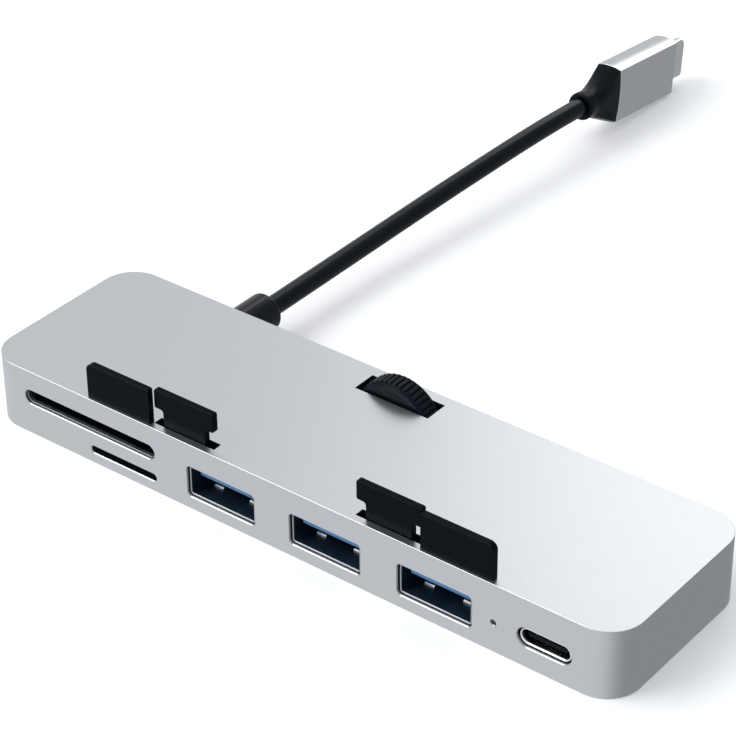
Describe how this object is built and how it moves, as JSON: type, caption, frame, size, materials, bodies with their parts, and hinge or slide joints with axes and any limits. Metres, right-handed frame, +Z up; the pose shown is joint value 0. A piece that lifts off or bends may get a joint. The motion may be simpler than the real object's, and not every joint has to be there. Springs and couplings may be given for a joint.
{
  "type": "usb hub",
  "caption": "Flat metal computer hub that clamps to a screen's lower lip with tabs, T hooks and a thumbwheel, with front ports and a short plug-ended cable.",
  "frame": {"origin": "middle of the underside, measured without the cable and its plug", "axes": "+X along the row of ports, -Y is the way the ports face, +Z up through the clamp tabs"},
  "size_m": [0.1236, 0.1712, 0.0185],
  "materials": {
    "shell_aluminium": "bead blasted and anodised, satin",
    "plug_aluminium": "bead blasted and anodised, a darker satin",
    "black_metal": "satin black",
    "black_plastic": "fine matte",
    "black_cable": "smooth satin jacket",
    "black_overmold": "smooth satin",
    "blue_plastic": "moulded, semi gloss",
    "brass": "turned",
    "circuit_board": "solder mask",
    "chip_black": "moulded epoxy",
    "crystal_can": "plain can",
    "clear_plastic": "clear moulded",
    "port_steel": "nickel plated sheet",
    "steel": "zinc plated"
  },
  "bodies": {
    "casing": {"top_shell": "shell_aluminium", "bottom_cover": "shell_aluminium", "cover_screw_1": "steel", "cover_screw_2": "steel", "cover_screw_3": "steel", "cover_screw_4": "steel", "fixed_tab_left": "black_metal", "fixed_tab_right": "black_metal", "guide_pin_left": "steel", "guide_pin_right": "steel", "screw_bush_front": "brass", "screw_bush_rear": "brass", "usb_a_shell_1": "port_steel", "usb_a_shell_2": "port_steel", "usb_a_shell_3": "port_steel", "usb_a_tongue_1": "blue_plastic", "usb_a_tongue_2": "blue_plastic", "usb_a_tongue_3": "blue_plastic", "usb_c_shell": "port_steel", "usb_c_tongue": "black_plastic", "usb_c_riser": "black_plastic", "sd_socket": "black_plastic", "sd_socket_lid": "port_steel", "microsd_socket": "black_plastic", "light_pipe": "clear_plastic", "status_led": "clear_plastic", "main_board": "circuit_board", "board_screw_1": "steel", "board_screw_2": "steel", "hub_chip": "chip_black", "card_reader_chip": "chip_black", "power_chip": "chip_black", "clock_crystal": "crystal_can", "power_coil": "chip_black", "cable_boot": "black_overmold", "cable_clamp": "steel", "cable_tail": "black_cable", "cable": "black_cable", "plug_overmold": "black_overmold", "plug_shell": "plug_aluminium", "plug_tip": "port_steel", "plug_insert": "black_plastic"},
    "lifting_frame": {"lift_bar": "steel", "hook_left": "black_metal", "hook_right": "black_metal", "hook_rivet_1": "steel", "hook_rivet_2": "steel", "hook_rivet_3": "steel", "hook_rivet_4": "steel"},
    "wheel": {"thumbwheel": "black_plastic", "lead_screw": "steel", "retaining_clip": "steel"},
    "nut": {"travelling_nut": "brass"}
  },
  "joints": [
    {"name": "wheel_turn", "type": "hinge", "parent": "casing", "child": "wheel", "pos_m": [0, 0.013, 0.0079], "axis": [0, -1, 0], "range_deg": [0, 1080]},
    {"name": "nut_slide", "type": "slide", "parent": "casing", "child": "nut", "axis": [0, 1, 0], "range_m": [0, 0.002]},
    {"name": "hook_slide", "type": "slide", "parent": "casing", "child": "lifting_frame", "axis": [0, 0, -1], "range_m": [0, 0.0011]}
  ],
  "couplings": [
    {"joint": "wheel_turn", "follows": "hook_slide", "rad_per_m": 17136},
    {"joint": "nut_slide", "follows": "hook_slide", "ratio": 1.818}
  ]
}
